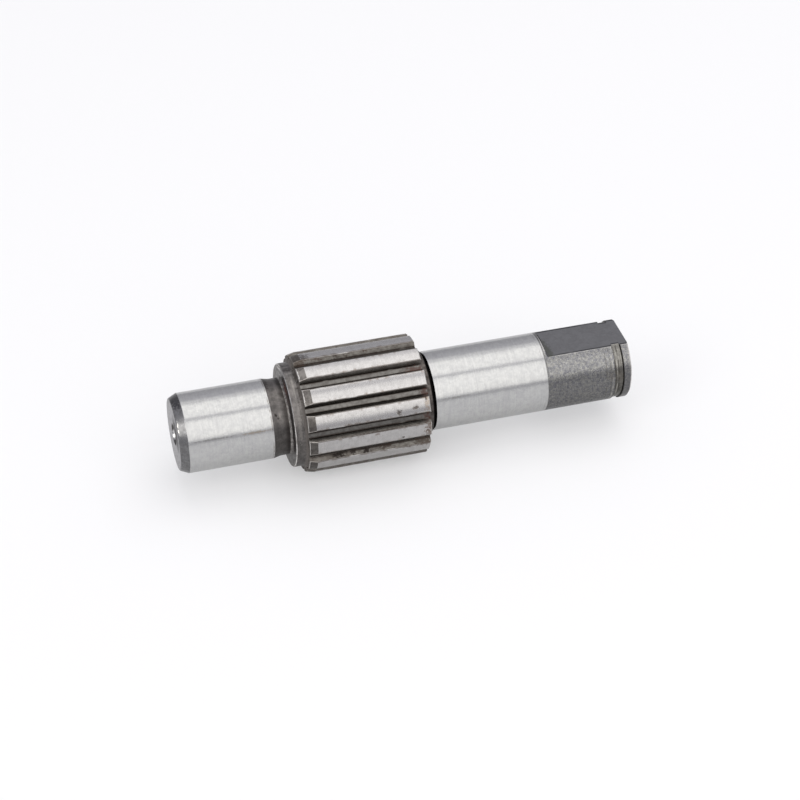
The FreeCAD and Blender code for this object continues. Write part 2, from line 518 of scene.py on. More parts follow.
@dataclass
class SplinedLength:
    """The toothed length, with the tapered lead and the two end faces of its teeth."""

    start: float = 18.45
    end: float = 36.92
    lead_length: float = 1.2
    lead_depth: float = 0.23
    left_chamfer: float = 0.08
    right_chamfer: float = 0.12
    face_inner_left: float = 8.23
    face_inner_right: float = 8.18
    edge_break: float = 0.03
    chamfer_row: float = 0.01
    lead_rows: tuple[float, float, float] = (0.06, 0.02, 0.1)
    rows_along: int = 9

    def rings(self, form: ToothForm) -> Rings:
        """The skin of the teeth: every row is the tooth section, cut off at the outline's radius.

        Args:
            form: The section of the teeth.

        Returns:
            Its rings, from the left end faces to the right ones.
        """
        tip, edge_break, row = form.tip_radius, self.edge_break, self.chamfer_row
        lead, chamfer_end = tip - self.lead_depth, self.start + self.left_chamfer
        lead_end, land_end = self.start + self.lead_length, self.end - self.right_chamfer
        slope = self.lead_depth / self.lead_length
        before, after, first = self.lead_rows
        stations = np.array([
            (self.start + edge_break, lead - self.left_chamfer + edge_break),
            (chamfer_end - row, lead - row),
            (chamfer_end + row, lead + row * slope),
            (lead_end - before, tip - before * slope),
            (lead_end + after, tip),
            *((x, tip) for x in np.linspace(lead_end + first, land_end - 2 * row, self.rows_along)),
            (land_end + 2 * row, tip - 2 * row),
            (self.end - edge_break, tip - self.right_chamfer + edge_break),
        ])
        radii, angles = zip(*(form.section(limit) for limit in stations[:, 1]))
        on_lands = [Zone.RUBBED_EDGE] * 2 + [Zone.TOOTH_LEAD] * 2 + [Zone.LAND] * self.rows_along
        on_lands = np.array(on_lands + [Zone.RUBBED_EDGE] * 3)[:, None]
        around = form.column_zones()
        zones = np.where(around == Zone.LAND, on_lands, around)
        return Rings.join([
            self.face_rings(form, self.start, lead - self.left_chamfer, self.face_inner_left, (0, 0.5, 1)),
            Rings(stations[:, :1], np.array(radii), np.array(angles), zones, form.edge_distance()),
            self.face_rings(form, self.end, tip - self.right_chamfer, self.face_inner_right, (1, 0.5, 0)),
        ])

    def face_rings(
        self, form: ToothForm, x: float, limit: float, inner: float, shares: tuple[float, ...]
    ) -> Rings:
        """The end faces of the teeth: flat, from a circle out to the section's outline, with a broken edge.

        Args:
            form: The section of the teeth.
            x: Where the faces lie.
            limit: The radius of the lands at the faces.
            inner: The circle's radius.
            shares: Where each row lies, from 0 on the circle to 1 on the outline.

        Returns:
            Its rings.
        """
        outer, angle = inset(*form.section(limit), self.edge_break)
        outer = np.maximum(outer, inner + TINY_STEP / 2)
        return Rings(x, inner + (outer - inner) * np.array(shares)[:, None], angle, Zone.TOOTH_END)


@dataclass
class RightJournal:
    """Shoulder beside the teeth, grinding groove and right journal."""

    teeth_end: float = 36.92
    shoulder_radius: float = 6.6
    shoulder_fillet: float = 0.3
    shoulder_chamfer: float = 0.1
    relief_start: float = 37.95
    relief_end: float = 38.50
    relief_radius: float = 5.5
    relief_fillet: float = 0.08
    journal_radius: float = 6.0
    journal_chamfer: float = 0.08
    journal_end: float = 56.05
    edge_break: float = 0.03
    change_over: float = 0.1

    def rings(self, teeth_angles: np.ndarray, end_angles: np.ndarray, inner: float) -> Rings:
        """The turned skin from the teeth's right faces to the end of the journal.

        The columns change over from the teeth's spacing to the driven end's on the groove's floor.

        Args:
            teeth_angles: Where the teeth's columns lie.
            end_angles: Where the driven end's columns lie.
            inner: The radius where the teeth's end faces stop.

        Returns:
            Its rings.
        """
        edge_break, low, fillet = self.edge_break, self.relief_radius, self.relief_fillet
        shoulder, journal = self.shoulder_radius, self.journal_radius
        middle = (self.relief_start + self.relief_end) / 2
        first = turned_rings([
            Corner(self.teeth_end, inner - TINY_STEP, 0, Zone.TOOTH_END),
            Corner(self.teeth_end, shoulder, self.shoulder_fillet, Zone.SHOULDER),
            Corner(self.relief_start - self.shoulder_chamfer, shoulder, edge_break, Zone.SHOULDER),
            Corner(self.relief_start, shoulder - self.shoulder_chamfer, edge_break, Zone.RELIEF),
            Corner(self.relief_start, low, fillet, Zone.RELIEF),
            Corner(middle - self.change_over / 2, low, 0, Zone.RELIEF),
        ], teeth_angles)
        second = turned_rings([
            Corner(middle + self.change_over / 2, low, 0, Zone.RELIEF),
            Corner(self.relief_end, low, fillet, Zone.RELIEF),
            Corner(self.relief_end, journal - self.journal_chamfer, edge_break, Zone.JOURNAL),
            Corner(self.relief_end + self.journal_chamfer, journal, edge_break, Zone.JOURNAL),
            Corner(self.journal_end, journal, 0, Zone.DRIVEN_ROUND),
        ], end_angles)
        return Rings.join([first, second])


@dataclass
class DrivenEnd:
    """The dark end: two flats, and a groove for a retaining ring."""

    start: float = 56.05
    journal_radius: float = 6.0
    radius: float = 5.975
    runout_length: float = 0.52
    runout_gap: float = 0.03
    wall_gap: float = 0.04
    wall_rise: float = 0.003
    wall_shares: tuple[float, ...] = (0.0, 0.35, 0.6, 0.8, 0.9, 0.96, 1.0)
    flats_setback: float = 0.45
    flats_fillet: float = 0.2
    rows_along: tuple[float, float, float] = (56.82, 60.0, 63.5)
    groove_start: float = 66.70
    groove_end: float = 68.02
    groove_radius: float = 5.77
    groove_lean: float = 0.02
    end: float = 69.30
    end_chamfer: float = 0.2
    edge_break: float = 0.025
    face_inner_margin: float = 0.3

    def rings(self, form: FlattedForm, drilling: CentreDrilling) -> Rings:
        """The skin from the right journal to the bottom of the right centre drilling.

        Args:
            form: The section with its two flats.
            drilling: The centre drilling in the face.

        Returns:
            Its rings.
        """
        edge_break = self.edge_break
        stations = np.vstack([
            *((x, self.radius) for x in self.rows_along),
            broken(self.groove_start, self.radius, LEFT, INWARDS, edge_break),
            broken(self.groove_start + self.groove_lean, self.groove_radius, OUTWARDS, RIGHT, edge_break),
            broken(self.groove_end - self.groove_lean, self.groove_radius, LEFT, OUTWARDS, edge_break),
            broken(self.groove_end, self.radius, INWARDS, RIGHT, edge_break),
            broken(self.end - self.end_chamfer, self.radius, LEFT, (1, -1), edge_break),
            (self.end - edge_break, self.radius - self.end_chamfer + edge_break),
        ])
        radii, angles = zip(*(form.section(limit) for limit in stations[:, 1]))
        on_round = [Zone.DRIVEN_ROUND] * 5 + [Zone.RING_GROOVE] * 7
        on_round = np.array(on_round + [Zone.DRIVEN_ROUND] * 3 + [Zone.RUBBED_EDGE] * 4)[:, None]
        zones = np.where(form.on_flat(), Zone.FLAT, on_round)
        edge = form.edge_distance(self.radius)
        outline, angle = inset(*form.section(self.radius - self.end_chamfer), edge_break)
        inner = drilling.mouth_radius + self.face_inner_margin
        face_radius = inner + (outline - inner) * np.linspace(1, 0, 5)[:, None]
        hole = drilling.corners(self.end, -1, Zone.CENTRE)[::-1]
        return Rings.join([
            self.wall_rings(form),
            Rings(stations[:, :1], np.array(radii), np.array(angles), zones, edge),
            Rings(self.end, face_radius, angle, Zone.DRIVEN_FACE),
            turned_rings([Corner(self.end, inner - 2 * TINY_STEP, 0, Zone.DRIVEN_FACE)] + hole, angle),
        ])

    def wall_rings(self, form: FlattedForm) -> Rings:
        """The run-out, and the step where the flats start: a flat wall that rounds into each flat.

        A column over a flat goes down from the circle to the flat. At a height h above the flat that is
        under the fillet's radius q it has moved along by q - sqrt(q^2 - (q - h)^2).

        Args:
            form: The section with its two flats.

        Returns:
            Its rings.
        """
        outline, angle = form.section(self.radius)
        start, fillet = self.start + self.flats_setback, self.flats_fillet
        share = np.array(self.wall_shares)[:, None]
        radius = self.radius + (outline - self.radius) * share
        height = np.abs(radius * np.cos(angle)) - form.across_flats / 2
        moved = fillet - np.sqrt(fillet ** 2 - (fillet - np.clip(height, 0, fillet)) ** 2)
        steps, whole = len(share), np.ones(form.columns)
        over_flat = outline < self.radius - ROUNDING_ERROR
        x = start + np.where(over_flat, moved, fillet) + TINY_STEP * np.arange(steps)[:, None]
        narrowed = self.runout_gap * (self.journal_radius - self.radius) / self.runout_length
        run_out = np.array([
            (self.start + self.runout_gap, self.journal_radius - narrowed),
            (start - self.wall_gap, self.radius + self.wall_rise),
        ])
        on_flat = np.array([Zone.DRIVEN_ROUND] + [Zone.STEP_WALL] * steps + [Zone.FLAT])[:, None]
        return Rings(
            np.vstack([run_out[:, :1] * whole, x]),
            np.vstack([run_out[:, 1:] * whole, radius]),
            angle,
            np.where(form.on_flat(), on_flat, Zone.DRIVEN_ROUND),
            np.where(np.arange(steps + 2)[:, None] >= steps, form.edge_distance(self.radius), NO_EDGE),
        )


# Some stains are painted highlights and painted shade.
@dataclass(frozen=True)
class Stain:
    """A mark at a place on the surface: metal tinted, or covered, inside a ragged ellipsoid.

    Attributes:
        x: Middle of the mark along the axis, in mm.
        radius: Its distance from the axis, in mm.
        angle_deg: Its height around the axis, from level towards -Y upwards.
        along: Its length along the axis, in mm.
        around: Its length around the axis, in mm.
        colour: What it tints or covers the metal with.
        strength: How much of it shows.
        ragged: How much its edge wanders, from 0 to 1.
        deep: Its size away from the axis, in mm.
        matt: Whether it is a crust that hides the metal's shine.
    """

    x: float
    radius: float
    angle_deg: float
    along: float
    around: float
    colour: str
    strength: float
    ragged: float = 0.5
    deep: float = 2.0
    matt: bool = False

    def mask(self, tree: Tree, place: Socket) -> Node:
        """How much of the mark shows.

        The place is moved to the mark's middle, turned level and divided by the half lengths, so that
        its length is 1 on the ellipsoid. Noise is added to that length before the mark fades out at 1.

        Args:
            tree: The material's nodes.
            place: Object coordinates.

        Returns:
            The node that tells it.
        """
        turn = math.radians(self.angle_deg)
        middle = (self.x * MM, -self.radius * math.cos(turn) * MM, self.radius * math.sin(turn) * MM)
        local = add(tree, "Mapping", {
            "Vector": place, "Location": middle, "Rotation": (-turn, 0, 0),
            "Scale": (self.along / 2 * MM, self.deep / 2 * MM, self.around / 2 * MM),
        }, vector_type="TEXTURE")
        away = add(tree, "VectorMath", (local,), operation="LENGTH")
        wander = add(tree, "TexNoise", {
            "Vector": place, "Scale": 1 / (RAGGED_SIZE * MM), "Detail": 3, "Roughness": 0.65,
        })
        edge = add(tree, "MapRange", (wander, *NOISE_RANGE, self.ragged, -self.ragged))
        total = add(tree, "Math", (away, edge), operation="ADD")
        return add(tree, "MapRange", (total, 1, STAIN_CORE, 0, self.strength), **SMOOTH)


@dataclass(frozen=True)
class Crust(Stain):
    """A stain that hides the metal's shine."""

    matt: bool = True


@dataclass(frozen=True)
class Line:
    """A narrow line: residue, rust, a tool mark, rubbed metal, or painted shade at a wall or root.

    Attributes:
        colour: What it tints or covers the metal with.
        at: Its middle, in mm: from the edge onto the land or flat, or along the axis.
        reach: How far it reaches to either side, in mm.
        strength: How much of it shows.
        share: How much of its length it covers, from 0 to 1.
        patch: Length of its broken pieces, in mm.
        matt: Whether it is a crust that hides the metal's shine.
    """

    colour: str
    at: float
    reach: float
    strength: float
    share: float
    patch: float
    matt: bool = False

    def mask(self, tree: Tree, place: Socket, distance: Node | Socket) -> Node:
        """How much of the line shows.

        It fades out at its reach from its middle, and noise breaks it along its length.

        Args:
            tree: The material's nodes.
            place: Object coordinates.
            distance: Distance from an edge or along the axis, in mm.

        Returns:
            The node that tells it.
        """
        away = add(tree, "Math", (distance, self.at), operation="SUBTRACT")
        away = add(tree, "Math", (away,), operation="ABSOLUTE")
        near = add(tree, "MapRange", (away, self.reach, LINE_CORE * self.reach), **SMOOTH)
        patchy = add(tree, "TexNoise", {
            "Vector": place, "Scale": 1 / (self.patch * MM), "Detail": 2, "Roughness": 0.6,
        })
        least = PIECES_START - PIECES_RANGE * self.share
        shows = add(tree, "MapRange", (patchy, least, least + PIECES_FADE, 0, self.strength), **SMOOTH)
        return add(tree, "Math", (near, shows), operation="MULTIPLY")


@dataclass(frozen=True)
class Texture:
    """A pattern on the metal.

    Attributes:
        size: Distance from one mark, patch or grain to the next, in mm.
        depth: Its depth, in mm.
        shade: How much it darkens the colour, or lightens and darkens it for grain.
        length: Length of a mark, in mm.
    """

    size: float
    depth: float = 0.0
    shade: float = 0.0
    length: float = 6.0


@dataclass(frozen=True)
class Finish:
    """A metal surface: its colour, its gloss, the marks that its making and its use left, and some painted
    light and shade.

    Attributes:
        name: What the surface is.
        light: Colour of its cleaner patches.
        dark: Colour of its duller patches.
        roughness: Roughness of its cleaner and of its duller patches.
        lay: Which way its marks run.
        marks: Marks of the cutter or the wheel.
        patches: Its patches, with the slow waves that come with them.
        grain: Its grain.
        painted_underside_shade: How much painted shade darkens it where it faces down.
        grazing: How much of an ideal metal's mirror is left where it is seen at a low angle.
        edge_lines: Narrow lines along the edges of its lands or flats.
        ring_lines: Narrow lines all the way around the shaft.
        stains: Marks at places of their own.
    """

    name: str
    light: str
    dark: str
    roughness: tuple[float, float]
    lay: Lay
    marks: Texture
    patches: Texture
    grain: Texture = Texture(0.35)
    painted_underside_shade: float = 0.0
    grazing: float = 0.72
    edge_lines: tuple[Line, ...] = ()
    ring_lines: tuple[Line, ...] = ()
    stains: tuple[Stain, ...] = ()

    def build(self) -> bpy.types.Material:
        """Makes the material: patches of two colours, shaded by marks and grain, under its lines and stains.

        Returns:
            The material, with its nodes.
        """
        material = bpy.data.materials.new(self.name)
        tree = cleared_tree(material)
        spot = add(tree, "TexCoord")
        place = spot.outputs["Object"]
        marks = self.mark_pattern(tree, place)
        patches, grain = (add(tree, "TexNoise", {
            "Vector": place, "Scale": 1 / (texture.size * MM), "Detail": detail, "Roughness": 0.6,
        }) for texture, detail in ((self.patches, 4), (self.grain, 2)))
        dull = add(tree, "MapRange", (patches, *PATCH_RANGE), **SMOOTH)
        colour = add(tree, "Mix", {0: dull, 6: linear(self.light), 7: linear(self.dark)}, data_type="RGBA")
        shade = self.shading(tree, marks, grain, spot.outputs["Normal"])
        colour = add(tree, "Mix", {0: 1, 6: colour, 7: shade}, data_type="RGBA", blend_type="MULTIPLY")
        rough = add(tree, "MapRange", (patches, *PATCH_RANGE, *self.roughness))
        edge = add(tree, "Attribute", attribute_name="edge_mm").outputs["Fac"]
        along = add(tree, "SeparateXYZ", (place,)).outputs["X"]
        along = add(tree, "Math", (along, 1 / MM), operation="MULTIPLY")
        masks = [line.mask(tree, place, edge) for line in self.edge_lines]
        masks += [line.mask(tree, place, along) for line in self.ring_lines]
        masks += [stain.mask(tree, place) for stain in self.stains]
        bare = 1.0
        for mark, mask in zip(self.edge_lines + self.ring_lines + self.stains, masks):
            colour = add(tree, "Mix", {0: mask, 6: colour, 7: linear(mark.colour)}, data_type="RGBA")
            if mark.matt:
                rough = add(tree, "Mix", {0: mask, 2: rough, 3: CRUST_ROUGHNESS})
                uncovered = add(tree, "Math", (1, mask), operation="SUBTRACT")
                bare = add(tree, "Math", (bare, uncovered), operation="MINIMUM")
        bent = None
        for texture, height in ((self.marks, marks), (self.grain, grain), (self.patches, patches)):
            if texture.depth > 0:
                bent = add(tree, "Bump", {
                    "Strength": 1, "Distance": texture.depth * MM, "Height": height, "Normal": bent,
                })
        metal = add(tree, "BsdfPrincipled", {
            "Base Color": colour, "Roughness": rough, "Metallic": bare, "Normal": bent,
            "Specular Tint": (self.grazing, self.grazing, self.grazing, 1),
            "Specular IOR Level": SPECULAR_LEVEL,
        })
        add(tree, "OutputMaterial", {"Surface": metal})
        return material

    def shading(self, tree: Tree, marks: Node, grain: Node, normal: Socket) -> Node:
        """How much darker than its colour the metal is: marks times grain times the painted shade on its
        lower side.

        The painted shade grows smoothly from where the surface faces half upwards to where it faces
        the side.

        Args:
            tree: The material's nodes.
            marks: Pattern of the marks.
            grain: Pattern of the grain.
            normal: The way that the surface faces, in object coordinates.

        Returns:
            The node that gives a factor around 1.
        """
        upwards = add(tree, "SeparateXYZ", (normal,)).outputs["Z"]
        shade = add(tree, "MapRange", (marks, *NOISE_RANGE, 1, 1 - self.marks.shade))
        speckle = add(tree, "MapRange", (grain, *NOISE_RANGE, 1 + self.grain.shade, 1 - self.grain.shade))
        painted_shade = add(tree, "MapRange", (upwards, *PAINTED_SHADE_RANGE, 1 - self.painted_underside_shade), **SMOOTH)
        shade = add(tree, "Math", (shade, speckle), operation="MULTIPLY")
        return add(tree, "Math", (shade, painted_shade), operation="MULTIPLY")

    def mark_pattern(self, tree: Tree, place: Socket) -> Node:
        """The marks of the cutter or wheel: noise drawn out along their lay.

        Args:
            tree: The material's nodes.
            place: Object coordinates.

        Returns:
            The node that gives the pattern, from 0 to 1.
        """
        fine, long = 1 / (self.marks.size * MM), 1 / (self.marks.length * MM)
        if self.lay is Lay.RINGS:
            parts = add(tree, "SeparateXYZ", (place,))
            flat = add(tree, "CombineXYZ", {"Y": parts.outputs["Y"], "Z": parts.outputs["Z"]})
            radius = add(tree, "VectorMath", (flat,), operation="LENGTH")
            turns = add(tree, "Math", (radius, fine), operation="MULTIPLY")
            return add(tree, "TexNoise", {
                "W": turns, "Scale": 1, "Detail": 3, "Roughness": 0.6,
            }, noise_dimensions="1D")
        scale = {
            Lay.AROUND: (fine, long, long),
            Lay.LENGTHWAYS: (long, fine, fine),
            Lay.NONE: (fine, fine, fine),
        }[self.lay]
        drawn = add(tree, "Mapping", {"Vector": place, "Scale": scale})
        return add(tree, "TexNoise", {"Vector": drawn, "Scale": 1, "Detail": 4, "Roughness": 0.6})


def cleared_tree(owner: bpy.types.Material | bpy.types.World) -> Tree:
    """Gives a material or a world an empty set of nodes.

    Args:
        owner: The material or the world.

    Returns:
        Its nodes.
    """
    owner.use_nodes = True
    owner.node_tree.nodes.clear()
    return owner.node_tree


def add(tree: Tree, kind: str, inputs: dict[str | int, Any] | tuple = (), **settings: Any) -> Node:
    """Adds a node with its settings, values and links.

    Args:
        tree: The nodes that it joins.
        kind: The node's type name after "ShaderNode".
        inputs: What its inputs get, in their order, or by name or number: a value, an output, or a node
            whose first output in use feeds the input. None leaves the input as it is.
        **settings: The node's own settings.

    Returns:
        The node.
    """
    node = tree.nodes.new("ShaderNode" + kind)
    for name, value in settings.items():
        setattr(node, name, value)
    for key, value in inputs.items() if isinstance(inputs, dict) else enumerate(inputs):
        if isinstance(value, Node):
            value = next(output for output in value.outputs if output.enabled)
        if isinstance(value, Socket):
            tree.links.new(value, node.inputs[key])
        elif value is not None:
            node.inputs[key].default_value = value
    return node


def placed(name: str, data: bpy.types.ID, matrix: Matrix | None = None) -> bpy.types.Object:
    """Puts a mesh, a lamp or a camera in the scene.

    Args:
        name: The object's name.
        data: What it shows.
        matrix: Where it stands, or None for the origin.

    Returns:
        The object.
    """
    thing = bpy.data.objects.new(name, data)
    thing.matrix_world = matrix or Matrix()
    bpy.context.scene.collection.objects.link(thing)
    return thing


# Rust, dirt and old oil in the gaps between the teeth, at the places that the photo shows.
GAP_STAINS = (
    Stain(19.4, 8.8, 92, 2.8, 3.4, "#3E332C", 0.6, 0.5, 3),
    Crust(22, 8.6, 97.2, 2.6, 1, "#4E3328", 0.5, 0.7),
    Crust(24.8, 8.6, 96.8, 1.4, 1.1, "#3A302A", 0.7, 0.6),
    Crust(26.4, 8.6, 96.5, 1.2, 0.9, "#40352E", 0.6, 0.6),
    Crust(29.2, 8.6, 97, 1.8, 0.9, "#4A382D", 0.6, 0.6),
    Stain(22.5, 8.6, -15.5, 9, 2.2, "#57514C", 0.5, 0.3),
    Crust(23, 8.6, -15.7, 2.4, 1.1, "#26201C", 0.9, 0.5),
    Crust(25.1, 8.6, -16, 1, 0.8, "#2A231F", 0.8, 0.5),
    Crust(27, 8.6, -16.5, 1.5, 1, "#26201C", 0.9, 0.5),
    Crust(30.2, 8.6, -16, 2.4, 0.8, "#40342C", 0.6, 0.8),
    Crust(35.8, 8.6, -16.5, 3, 1.8, "#4E4239", 0.55, 0.8),
    Crust(36.4, 8.5, 12, 1.6, 2, "#4A2E26", 0.6, 0.7),
    Crust(36.5, 8.4, 37, 1.6, 2, "#4E322B", 0.6, 0.7),
    Crust(35.6, 8.4, 62.5, 3.4, 1.5, "#5A3D35", 0.6, 0.6),
)

